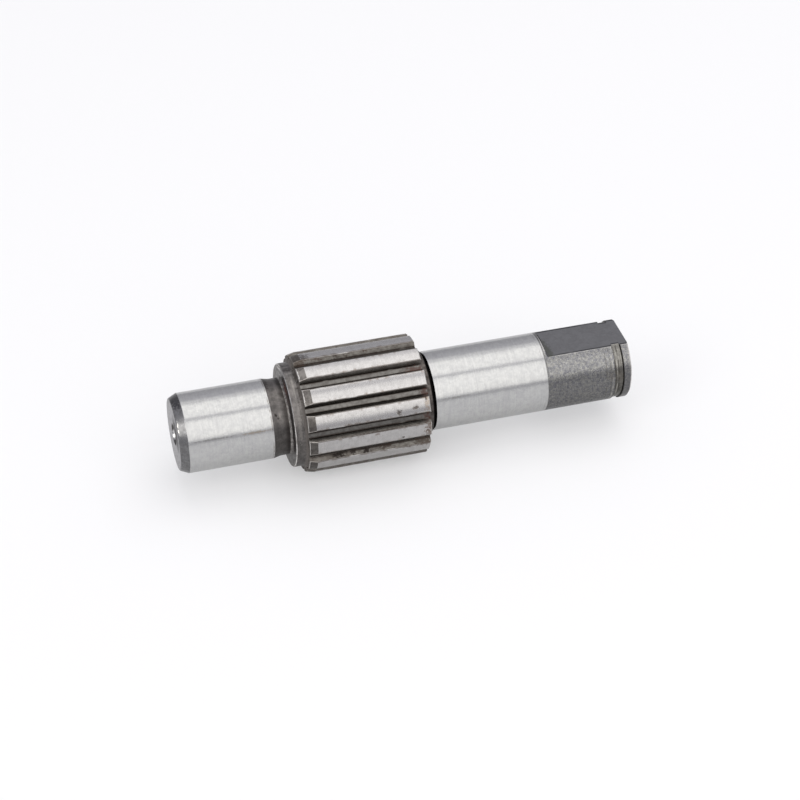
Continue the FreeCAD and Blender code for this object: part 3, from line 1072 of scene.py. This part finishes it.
# The bar is an alloy steel. Ground bare it reflects nearly half of the light, almost without a hue, and the
# lengths that were only turned or hobbed keep the darker skin of the hardening.
FINISHES = {
    # Ground between centres: satin bright, with fine marks around the axis and soft dull patches.
    Zone.JOURNAL: Finish(
        "ground_steel_journal", "#BEBEBD", "#B6B6B6", (0.2, 0.23), Lay.AROUND,
        Texture(0.16, 0.0008, 0.11, 5), Texture(0.8, 0.0006), Texture(0.22, 0.0007, 0.04),
        painted_underside_shade=0.03, grazing=0.83,
        ring_lines=(
            Line("#4C4A48", 56.03, 0.1, 0.6, 0.9, 2),
            Line("#8A8884", 55.6, 0.12, 0.3, 0.5, 3),
            Line("#6A625A", 13.75, 0.16, 0.5, 0.7, 1.5),
        ),
        stains=(
            Stain(11.2, 6, 21.8, 5, 0.5, "#8A744C", 0.4, 0.6),
            Stain(4.9, 6, 22.2, 7, 0.4, "#605E59", 0.4, 0.5),
            Stain(41.5, 6, 22, 5, 0.4, "#77746A", 0.35, 0.6),
            Stain(41.8, 6, 53.8, 0.35, 0.25, "#6A6762", 0.4, 0.4),
        ),
    ),
    # The same grinding on the teeth's lands: a touch warmer, with brown residue along the edges.
    Zone.LAND: Finish(
        "ground_steel_land", "#BDBBBA", "#B4B2B1", (0.2, 0.24), Lay.AROUND,
        Texture(0.16, 0.0008, 0.11, 4), Texture(0.8, 0.0006), Texture(0.22, 0.0007, 0.045),
        painted_underside_shade=0.15, grazing=0.83,
        edge_lines=(
            Line("#4C443E", 0.04, 0.14, 0.75, 0.9, 2.5),
            Line("#6E5D50", 0.2, 0.24, 0.45, 0.35, 0.8),
        ),
        stains=(
            Stain(20.2, 9.05, 101, 1.8, 2.6, "#57504C", 0.75, 0.8),
            Crust(32.1, 9.05, 23, 1.1, 1.1, "#332A23", 0.85, 0.4),
            Crust(34.7, 9.05, 25, 1.3, 0.9, "#43372C", 0.75, 0.45),
            Crust(32.5, 9.05, -4.3, 0.55, 0.5, "#30261F", 0.75),
            Stain(28.6, 9.05, 4.5, 1.1, 0.4, "#5A4438", 0.5),
            Crust(36.5, 9.05, 3, 1.6, 1.6, "#574234", 0.65, 0.8),
            Crust(36.4, 9.05, -4, 1.2, 1.6, "#524032", 0.7, 0.8),
            Stain(36.5, 9.05, 27, 1.3, 3.2, "#95836F", 0.5, 0.9),
            Crust(36.3, 9.05, 31, 0.4, 0.9, "#3F3026", 0.7, 0.6),
            Crust(29, 9.05, 7.7, 15, 0.4, "#3A322C", 0.8, 0.35, 0.8),
            Crust(36.6, 9.05, 57, 0.6, 1.2, "#7E6458", 0.5, 0.7),
            Crust(35.9, 9.05, -18.5, 2.6, 1.2, "#4E4239", 0.6, 0.8),
            Crust(33.5, 9.05, -19.5, 1.6, 0.5, "#4A3F37", 0.6, 0.8),
            Crust(25.4, 9.05, 19.6, 4, 0.35, "#4A4039", 0.6, 0.7),
        ),
    ),
    # Turned, then hardened: dull brown-grey scale in the tool's grooves.
    Zone.NECK: Finish(
        "hardened_turned_neck", "#716D6B", "#625F5D", (0.3, 0.42), Lay.AROUND,
        Texture(0.4, 0.003, 0.26), Texture(0.8), Texture(0.22, 0.004, 0.13), painted_underside_shade=0.36,
        # Painted shade: a dark band in the corner by the collar.
        ring_lines=(Line("#1F1B19", 16.35, 1, 0.65, 1, 3),),
        stains=(
            Crust(14.5, 5.8, 41, 0.6, 0.6, "#2A2522", 0.8),
            Crust(14.8, 5.8, 35, 0.5, 0.45, "#2A2522", 0.75),
            Stain(15.1, 5.8, 39, 0.3, 0.9, "#8F8A84", 0.4),
            Stain(14.1, 5.9, 100, 0.9, 6, "#2E2B29", 0.6),
        ),
    ),
    Zone.COLLAR_FACE: Finish(
        "hardened_faced_shoulder", "#8B8885", "#64605E", (0.3, 0.42), Lay.RINGS,
        Texture(0.22, 0.003, 0.2), Texture(0.5), Texture(0.2, 0.005, 0.2),
        stains=(
            Crust(16.7, 6.35, 74, 1, 4.4, "#4A251E", 0.85, 0.35, 1.4),
            Crust(16.7, 6.3, 58, 1, 3.4, "#42302A", 0.6, 0.4, 1.2),
            Stain(16.7, 6.6, 96, 0.8, 3.2, "#3A332E", 0.5, 0.6, 1),
            Stain(16.7, 7.25, 112, 0.5, 4.6, "#E2E0DD", 0.7, 0.9, 0.5),
            Stain(16.7, 6.85, 118, 0.5, 4, "#393634", 0.7, 0.9, 0.5),
            Stain(16.7, 6.4, 110, 0.5, 2.6, "#C9C6C3", 0.6, 0.9, 0.4),
            Stain(16.7, 5.95, 105, 0.5, 3, "#33302E", 0.7, 0.7, 0.5),
        ),
    ),
    Zone.COLLAR: Finish(
        "hardened_turned_collar", "#7A7674", "#656260", (0.28, 0.38), Lay.AROUND,
        Texture(0.2, 0.003, 0.26), Texture(0.7), Texture(0.25, 0.004, 0.12), painted_underside_shade=0.26,
        ring_lines=(Line("#66615D", 18.4, 0.4, 0.8, 1, 2, matt=True),),
        stains=(
            Stain(17.5, 7.8, 121, 2.6, 5, "#4B4845", 0.65, 0.4, 3),
            Stain(17.6, 7.8, 88, 2, 0.7, "#A5A19D", 0.5, 0.6),
            Stain(17.4, 7.8, 94, 2.2, 0.6, "#3F3B38", 0.5, 0.6),
            Stain(17.3, 7.8, 101, 1.8, 0.5, "#9A9692", 0.45, 0.6),
            Stain(18.25, 8, 84, 0.8, 5.2, "#35312E", 0.7, 0.5),
            # Painted highlight: a light streak around the collar.
            Stain(17.55, 7.8, 66, 0.35, 5, "#9A9691", 0.35, 0.8),
            Stain(18.2, 8, 58, 0.5, 3.4, "#3F3A37", 0.6, 0.6),
            Stain(17.9, 7.8, 40, 0.4, 7, "#4A4642", 0.4, 0.7),
            Stain(17.5, 7.8, 20, 0.6, 5, "#96928D", 0.35, 0.8),
        ),
    ),
    # Edges that handling and hubs have rubbed bright; painted shade dims the collar's edge over the top.
    Zone.RUBBED_EDGE: Finish(
        "rubbed_steel_edge", "#DEDBD8", "#A6A29E", (0.22, 0.32), Lay.NONE,
        Texture(0.3, 0.002, 0.15), Texture(1.2), Texture(0.35, 0.003), grazing=0.83,
        stains=(
            # Painted shade: the collar's rubbed edge dimmed over the top.
            Stain(16.75, 7.75, 98, 0.6, 9, "#6A6663", 0.6, 0.5, 2),
            Stain(18.5, 8.8, 101, 0.6, 4.6, "#5A5450", 0.9, 0.3, 2),
        ),
    ),
    # Turned end face: rings of the facing tool, a darker matt patch beside the centre drilling, and painted
    # shade in a near-black ring at its mouth.
    Zone.END_FACE: Finish(
        "faced_steel_end", "#A1A0A2", "#8C8B8D", (0.26, 0.36), Lay.RINGS,
        Texture(0.24, 0.004, 0.2), Texture(0.7), Texture(0.35, 0.002, 0.08), grazing=0.83,
        stains=(
            Crust(0, 2.8, 37, 2, 6.6, "#3B3936", 0.75, 0.12, 5.2),
            # Painted shade: a near-black ring at the drilling's mouth.
            Crust(0, 1.7, 20, 1, 1.6, "#1C1A18", 0.7, 0.5, 1.2),
            Crust(0, 1.8, 72, 1, 1.2, "#1C1A18", 0.6, 0.5, 1),
        ),
    ),
    # Turned lead-in: finely turned and glossier than the hardened lengths; painted shade makes it black
    # towards the top, and two painted highlights sit on its edge by the face.
    Zone.LEAD_IN: Finish(
        "turned_steel_lead_in", "#8A8A8B", "#7A797A", (0.26, 0.34), Lay.AROUND,
        Texture(0.2, 0.003, 0.16), Texture(0.6), Texture(0.35, 0.003, 0.1), painted_underside_shade=0.25, grazing=0.83,
        stains=(
            # Painted shade over the top, then two painted highlights on the edge by the face.
            Stain(0.7, 5.6, 102, 3, 8, "#2F2E32", 0.75, 0.4),
            Stain(0.22, 5.46, 51.5, 0.26, 1.3, "#CFCDC9", 0.8, 0.5, 0.6),
            Stain(0.18, 5.45, 42, 0.24, 0.8, "#E6E4E0", 0.9, 0.4, 0.6),
        ),
    ),
    # Drilled with a centre drill: burnished dark, so that it mirrors the lamp, with a near-white painted
    # highlight where the lamp shows.
    Zone.CENTRE: Finish(
        "drilled_steel_centre", "#5E5C5A", "#464442", (0.14, 0.22), Lay.AROUND,
        Texture(0.2, 0.002, 0.2, 4), Texture(0.5), grazing=0.83,
        # Painted highlight: the near-white spot inside the drilling.
        stains=(Stain(0.5, 1.15, 218.6, 2.4, 2, "#F2F1EF", 1, 0.1, 1.8),),
    ),
    Zone.TOOTH_END: Finish(
        "hardened_tooth_end", "#6C6763", "#55504C", (0.3, 0.42), Lay.NONE,
        Texture(0.25, 0.003, 0.15), Texture(0.6), Texture(0.35, 0.003, 0.1),
        ring_lines=(Line("#66615D", 18.45, 0.5, 0.8, 1, 2, matt=True),),
    ),
    # Tapered lead of the teeth: hardened skin that the wheel missed, rubbed bright along its edges, with
    # painted highlights across the teeth's left ends.
    Zone.TOOTH_LEAD: Finish(
        "hardened_tooth_lead", "#7B7773", "#66625F", (0.28, 0.38), Lay.AROUND,
        Texture(0.2, 0.002, 0.14), Texture(0.5), Texture(0.2, 0.004, 0.16), painted_underside_shade=0.42,
        edge_lines=(Line("#B8B3AE", 0.05, 0.1, 0.7, 0.8, 1.2),),
        stains=(
            Stain(19.2, 8.8, 97, 2.8, 4.6, "#4F4741", 0.6, 0.6, 3),
            Stain(19.2, 8.8, 77, 2.2, 2.2, "#8F8B87", 0.7, 0.4, 3),
            # Painted highlights: light lines across the teeth's left ends, brightest on the top tooth.
            Stain(18.56, 8.85, 76.5, 0.26, 2.9, "#E6E3DF", 0.8, 0.3, 1),
            Stain(18.56, 8.85, 51.4, 0.24, 2.7, "#D6D2CE", 0.65, 0.4, 1),
            Stain(18.56, 8.85, 25.7, 0.22, 2.4, "#B5B1AD", 0.4, 0.5, 1),
            Stain(19.2, 8.8, 26, 2.8, 3.4, "#4C4845", 0.4, 0.4, 3),
        ),
    ),
    # Hobbed and hardened: brown-grey oxide on the flanks and floors; the roots darkened black-brown by oil
    # and by painted shade in the narrow gaps.
    Zone.FLANK: Finish(
        "hobbed_steel_flank", "#6F6C68", "#5B5753", (0.3, 0.42), Lay.LENGTHWAYS,
        Texture(0.16, 0.002, 0.16, 3), Texture(0.7), Texture(0.25, 0.003, 0.08),
        edge_lines=(
            # Oil and painted shade: a black-brown line down in the roots.
            Line("#241C19", -0.8, 0.2, 0.85, 1, 3),
            Line("#3B322C", -0.06, 0.12, 0.6, 0.8, 2),
        ),
        stains=GAP_STAINS,
    ),
    Zone.GAP_FLOOR: Finish(
        "hobbed_steel_floor", "#73716E", "#63605D", (0.26, 0.36), Lay.LENGTHWAYS,
        Texture(0.16, 0.002, 0.14, 3), Texture(0.8), Texture(0.25, 0.002, 0.08), painted_underside_shade=0.2,
        # Oil and painted shade: a black-brown line down in the roots.
        edge_lines=(Line("#261C18", -0.9, 0.12, 0.7, 0.9, 3),),
        stains=GAP_STAINS,
    ),
    Zone.SHOULDER: Finish(
        "turned_steel_shoulder", "#605B58", "#4B4643", (0.3, 0.42), Lay.AROUND,
        Texture(0.2, 0.002, 0.15), Texture(0.7), Texture(0.35, 0.003, 0.1), painted_underside_shade=0.2,
    ),
    # Grinding groove: near-black, mostly a painted shadow of the narrow groove, over black scale and old oil
    # that the wheel never reached.
    Zone.RELIEF: Finish(
        "groove_painted_shadow", "#1A1817", "#100F0E", (0.5, 0.6), Lay.AROUND,
        Texture(0.25, 0.002, 0.1), Texture(0.8),
    ),
    # The driven end as it came from the hardening salt: dark, with a fine crystalline grain.
    Zone.DRIVEN_ROUND: Finish(
        "salt_hardened_round", "#959491", "#7A7A7E", (0.22, 0.3), Lay.AROUND,
        Texture(0.22, 0.003, 0.2, 1.2), Texture(0.4, 0.0008), Texture(0.16, 0.026, 0.3), painted_underside_shade=0.32,
        edge_lines=(Line("#A8A6A4", -0.04, 0.08, 0.5, 0.8, 2),),
        ring_lines=(
            Line("#4A4A4B", 56.12, 0.1, 0.5, 0.8, 3),
            # Painted shadow: this line and the last one darken the ring groove's edges; those between are
            # turning marks.
            Line("#3F3D3A", 66.66, 0.12, 0.85, 0.8, 2),
            Line("#4F4D48", 65.95, 0.12, 0.65, 0.55, 1.4),
            Line("#56544F", 65.3, 0.12, 0.55, 0.6, 2),
            Line("#B5B2AA", 66.32, 0.12, 0.5, 0.6, 1.4),
            Line("#2A2826", 68.07, 0.1, 0.85, 1, 2),
        ),
        stains=(
            # Painted shade and a painted highlight: a dark line and a light line at the step where the flats
            # start.
            Stain(56.44, 6, 90, 0.26, 7.8, "#262626", 0.9, 0.2, 5),
            Stain(56.26, 6, 84, 0.16, 7, "#BDBBB8", 0.7, 0.2, 5),
            Stain(65.9, 6, 14, 1.8, 2.2, "#6B665E", 0.4),
            Stain(68.9, 6, -12, 2.2, 8, "#5A5A5C", 0.45, 0.2, 4),
        ),
    ),
    Zone.FLAT: Finish(
        "salt_hardened_flat", "#7A7A7C", "#737375", (0.3, 0.38), Lay.LENGTHWAYS,
        Texture(0.3, 0.001, 0.06, 3), Texture(0.9), Texture(0.3, 0.003, 0.05),
        edge_lines=(
            Line("#2C2C2F", 0.18, 0.2, 0.75, 0.9, 4),
            Line("#A8A6A4", 0, 0.06, 0.4, 0.7, 2),
        ),
        ring_lines=(Line("#3A3A38", 56.6, 0.16, 0.7, 0.9, 3),),
        stains=(Stain(56.9, 5, 60, 2, 10, "#50524A", 0.65, 0.4, 10),),
    ),
    Zone.STEP_WALL: Finish(
        "milled_step_wall", "#6C6C6E", "#5A5A5C", (0.3, 0.4), Lay.NONE,
        Texture(0.3, 0.002, 0.1), Texture(0.6), Texture(0.35, 0.003, 0.08),
    ),
    # Cut with a narrow tool after hardening: a shade lighter, with painted shadow along its walls and turning
    # marks between them.
    Zone.RING_GROOVE: Finish(
        "turned_ring_groove", "#8C8A85", "#75736F", (0.24, 0.32), Lay.AROUND,
        Texture(0.12, 0.003, 0.24), Texture(0.6), Texture(0.2, 0.006, 0.18), painted_underside_shade=0.46,
        ring_lines=(
            # Painted shadow along the left wall; the last line is painted shadow along the right wall, those
            # between are turning marks.
            Line("#45423E", 66.8, 0.12, 0.75, 0.8, 1.6),
            Line("#B9B6AF", 67.05, 0.11, 0.5, 0.6, 1.2),
            Line("#403D39", 67.3, 0.13, 0.75, 0.75, 1.2),
            Line("#5C5954", 67.68, 0.1, 0.55, 0.6, 1.4),
            Line("#211E1C", 67.98, 0.1, 0.9, 1, 2),
        ),
        stains=(Stain(67.4, 5.8, 10, 1.6, 3, "#6A645C", 0.3),),
    ),
    Zone.DRIVEN_FACE: Finish(
        "salt_hardened_face", "#7E7E80", "#6F6F71", (0.28, 0.38), Lay.RINGS,
        Texture(0.3, 0.004, 0.15), Texture(0.8), Texture(0.3, 0.006, 0.1),
    ),
}


@dataclass
class DriveShaft:
    """The whole shaft: one skin over all of its lengths."""

    name: str = "shaft_skin"
    slot: str = "shaft_steel"

    def rings(self) -> Rings:
        """The whole skin, from one drilling's point to the other's.

        Returns:
            All its rings.
        """
        teeth, drilling, splines, driven = ToothForm(), CentreDrilling(), SplinedLength(), DrivenEnd()
        flats = FlattedForm(teeth.columns)
        teeth_angles = teeth.section(teeth.tip_radius)[1]
        end_angles = flats.section(driven.radius)[1]
        parts = {
            "left end": LeftEnd().rings(teeth_angles, drilling),
            "splined length": splines.rings(teeth),
            "right journal": RightJournal().rings(teeth_angles, end_angles, splines.face_inner_right),
            "driven end": driven.rings(flats, drilling),
        }
        for name, part in parts.items():
            log.info("%s: %d rows, x %.2f to %.2f mm", name, len(part.x), part.x.min(), part.x.max())
        return Rings.join(list(parts.values()))

    def build(self) -> bpy.types.Object:
        """Makes the skin's mesh and dresses it.

        A point at distance r and angle a lies at y = r sin a, z = -r cos a. Rows next to each other are
        joined by quads, and the first and last rows shrink to the drillings' points. A point's normal is
        the sum of the area vectors of the faces around it, so a narrow rounding doesn't bend a wide face.

        Returns:
            The shaft's object.
        """
        skin = self.rings()
        rows, columns = skin.x.shape
        y, z = skin.radius * np.sin(skin.angle), -skin.radius * np.cos(skin.angle)
        spots = np.stack([skin.x, y, z], axis=2) * MM
        here, above = spots[:-1], spots[1:]
        right, corner = np.roll(here, -1, axis=1), np.roll(above, -1, axis=1)
        area = np.cross(corner - here, above - right)
        area += np.roll(area, 1, axis=1)
        normals = (area[:-1] + area[1:]).reshape(-1, 3)
        normals /= np.linalg.norm(normals, axis=1)[:, None]
        normals = np.vstack([[[-1, 0, 0]], normals, [[1, 0, 0]]])
        points = np.vstack([spots[0, :1], spots[1:-1].reshape(-1, 3), spots[-1, :1]])

        index = 1 + np.arange((rows - 2) * columns).reshape(rows - 2, columns)
        beside = np.roll(index, -1, axis=1)
        quads = np.stack([index[:-1], beside[:-1], beside[1:], index[1:]], axis=2).reshape(-1, 4)
        first = np.column_stack([np.zeros(columns, int), beside[0], index[0]])
        last = np.column_stack([np.full(columns, len(points) - 1), index[-1], beside[-1]])
        mesh = bpy.data.meshes.new(self.name)
        mesh.from_pydata(points.tolist(), [], quads.tolist() + first.tolist() + last.tolist())

        zones = np.concatenate([skin.zones[1:-2].ravel(), np.full(2 * columns, Zone.CENTRE)])
        for zone in Zone:
            mesh.materials.append(FINISHES[zone].build())
        mesh.polygons.foreach_set("material_index", zones.astype(np.int32))
        mesh.polygons.foreach_set("use_smooth", np.ones(len(zones), bool))
        edge = mesh.attributes.new("edge_mm", "FLOAT", "POINT")
        distance = np.concatenate([[NO_EDGE], skin.edge[1:-1].ravel(), [NO_EDGE]])
        edge.data.foreach_set("value", distance.astype(np.float32))
        mesh.normals_split_custom_set_from_vertices(normals.tolist())
        mesh.validate()
        mesh.update()
        log.info("%s: %d points, %d faces", self.name, len(points), len(zones))
        return placed(self.name, mesh)


@dataclass(frozen=True)
class Softbox:
    """A soft studio lamp, given by where its reflection shows on the shaft.

    Attributes:
        name: Which lamp it is.
        from_deg: Where it starts, around the axis from level towards -Y upwards and over.
        to_deg: Where it ends.
        left: How far it reaches towards -X, in mm.
        right: How far it reaches towards +X, in mm.
        brightness: The light that it sends out, where 1 is white.
        distance: Its distance from the shaft, in mm.
        colour: The light's hue, a touch warmer than the air's.
    """

    name: str
    from_deg: float
    to_deg: float
    left: float
    right: float
    brightness: float
    distance: float = 600.0
    colour: str = "#FFFDF6"

    def build(self, aim: Vector) -> None:
        """Makes the lamp, facing the shaft: a flat one of area A that sends out the light L has power pi A L.

        Args:
            aim: The point that it faces, in metres.
        """
        middle = math.radians((self.from_deg + self.to_deg) / 2)
        spread = math.radians((self.to_deg - self.from_deg) / 2)
        height = 2 * self.distance * math.tan(spread) * MM
        width = (self.left + self.right) * MM
        data = bpy.data.lights.new(self.name, "AREA")
        data.shape = "RECTANGLE"
        data.size, data.size_y = width, height
        data.energy = math.pi * width * height * self.brightness
        data.color = linear(self.colour)[:3]
        side, back = Vector((1, 0, 0)), Vector((0, -math.cos(middle), math.sin(middle)))
        shift = side * (self.right - self.left) / 2 * MM
        turn = Matrix((side, back.cross(side), back)).transposed().to_4x4()
        lamp = placed(self.name, data, Matrix.Translation(aim + back * self.distance * MM + shift) @ turn)
        lamp.visible_camera = False
        log.info("%s: brightness %.2f", self.name, self.brightness)


@dataclass
class Studio:
    """A plain pale floor, soft lamps and the camera."""

    floor_z: float = -9.005
    floor_size: float = 24000.0
    floor_colour: str = "#EFEFF1"
    floor_glow: float = 0.38
    air_colour: str = "#F8F8FF"
    air_low: float = 0.56
    air_high: float = 0.75
    air_high_from: float = 0.65
    aim: tuple[float, float, float] = (34.65, 0.0, 0.0)
    camera_place: tuple[float, float, float] = (-33.76, -249.85, 199.25)
    camera_right: tuple[float, float, float] = (0.9636, -0.2675, -0.0049)
    camera_up: tuple[float, float, float] = (0.1673, 0.5883, 0.7912)
    camera_sensor: float = 36.0
    camera_lens: float = 97.92
    camera_clip_metres: tuple[float, float] = (0.01, 20.0)
    camera_shift: tuple[float, float] = (-0.00075, 0.00052)
    lamps: tuple[Softbox, ...] = (
        Softbox("front_softbox", 11, 68, 250, 500, 1.0),
        Softbox("top_softbox", 76, 120, 120, 500, 1.0),
        Softbox("back_softbox", 120, 134, 120, 500, 0.4),
        Softbox("left_softbox", 32, 76, 980, -400, 2.35),
    )

    def build(self) -> None:
        """Makes the floor, the lamps, the air's light and the camera."""
        half, z = self.floor_size / 2 * MM, self.floor_z * MM
        mesh = bpy.data.meshes.new("floor")
        corners = [(-half, -half, z), (half, -half, z), (half, half, z), (-half, half, z)]
        mesh.from_pydata(corners, [], [(0, 1, 2, 3)])
        paper = bpy.data.materials.new("matt_white_paper")
        self.dress_floor(cleared_tree(paper))
        mesh.materials.append(paper)
        placed("floor", mesh)
        for lamp in self.lamps:
            lamp.build(Vector(self.aim) * MM)
        world = bpy.data.worlds.new("studio_air")
        self.dress_air(cleared_tree(world))
        bpy.context.scene.world = world
        self.build_camera()

    def dress_air(self, tree: Tree) -> None:
        """Gives the room its even light: a little darker towards the horizon than overhead.

        Args:
            tree: The world's nodes.
        """
        way = add(tree, "TexCoord").outputs["Object"]
        height = add(tree, "SeparateXYZ", (way,)).outputs["Z"]
        strength = add(tree, "MapRange", (height, 0, self.air_high_from, self.air_low, self.air_high))
        air = add(tree, "Background", {"Color": linear(self.air_colour), "Strength": strength})
        add(tree, "OutputWorld", {"Surface": air})

    def dress_floor(self, tree: Tree) -> None:
        """Gives the floor its white paper.

        Part of what the camera, gloss and glass see of it is an even white of strength 1, so that the
        shaft's shadow stays light. The light that it throws back on the shaft is the paper's own.

        Args:
            tree: The floor material's nodes.
        """
        matt = add(tree, "BsdfDiffuse", {"Color": linear(self.floor_colour)})
        white = add(tree, "Emission", {"Color": linear("#FFFFFF"), "Strength": 1})
        path = add(tree, "LightPath")
        seen = path.outputs["Is Camera Ray"]
        for ray in ("Is Glossy Ray", "Is Transmission Ray"):
            seen = add(tree, "Math", (seen, path.outputs[ray]), operation="ADD", use_clamp=True)
        share = add(tree, "Math", (seen, self.floor_glow), operation="MULTIPLY")
        paper = add(tree, "MixShader", (share, matt, white))
        add(tree, "OutputMaterial", {"Surface": paper})

    def build_camera(self) -> None:
        """Makes the camera at the photograph's viewing angle."""
        data = bpy.data.cameras.new("camera")
        data.sensor_width, data.lens = self.camera_sensor, self.camera_lens
        data.shift_x, data.shift_y = self.camera_shift
        data.clip_start, data.clip_end = self.camera_clip_metres
        right = Vector(self.camera_right).normalized()
        back = right.cross(Vector(self.camera_up)).normalized()
        turn = Matrix((right, back.cross(right), back)).transposed().to_4x4()
        place = Matrix.Translation(Vector(self.camera_place) * MM) @ turn
        bpy.context.scene.camera = placed("camera", data, place)


def main() -> None:
    """Builds the shaft's looks around the CAD frame, in order."""
    logging.basicConfig(level=logging.INFO, format="%(name)s: %(message)s")
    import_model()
    shaft = DriveShaft()
    skin = shaft.build()
    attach(skin, "root")
    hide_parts("drive_shaft")
    Studio().build()
    bpy.context.scene.view_settings.view_transform = "Standard"


if __name__ == "__main__":
    main()
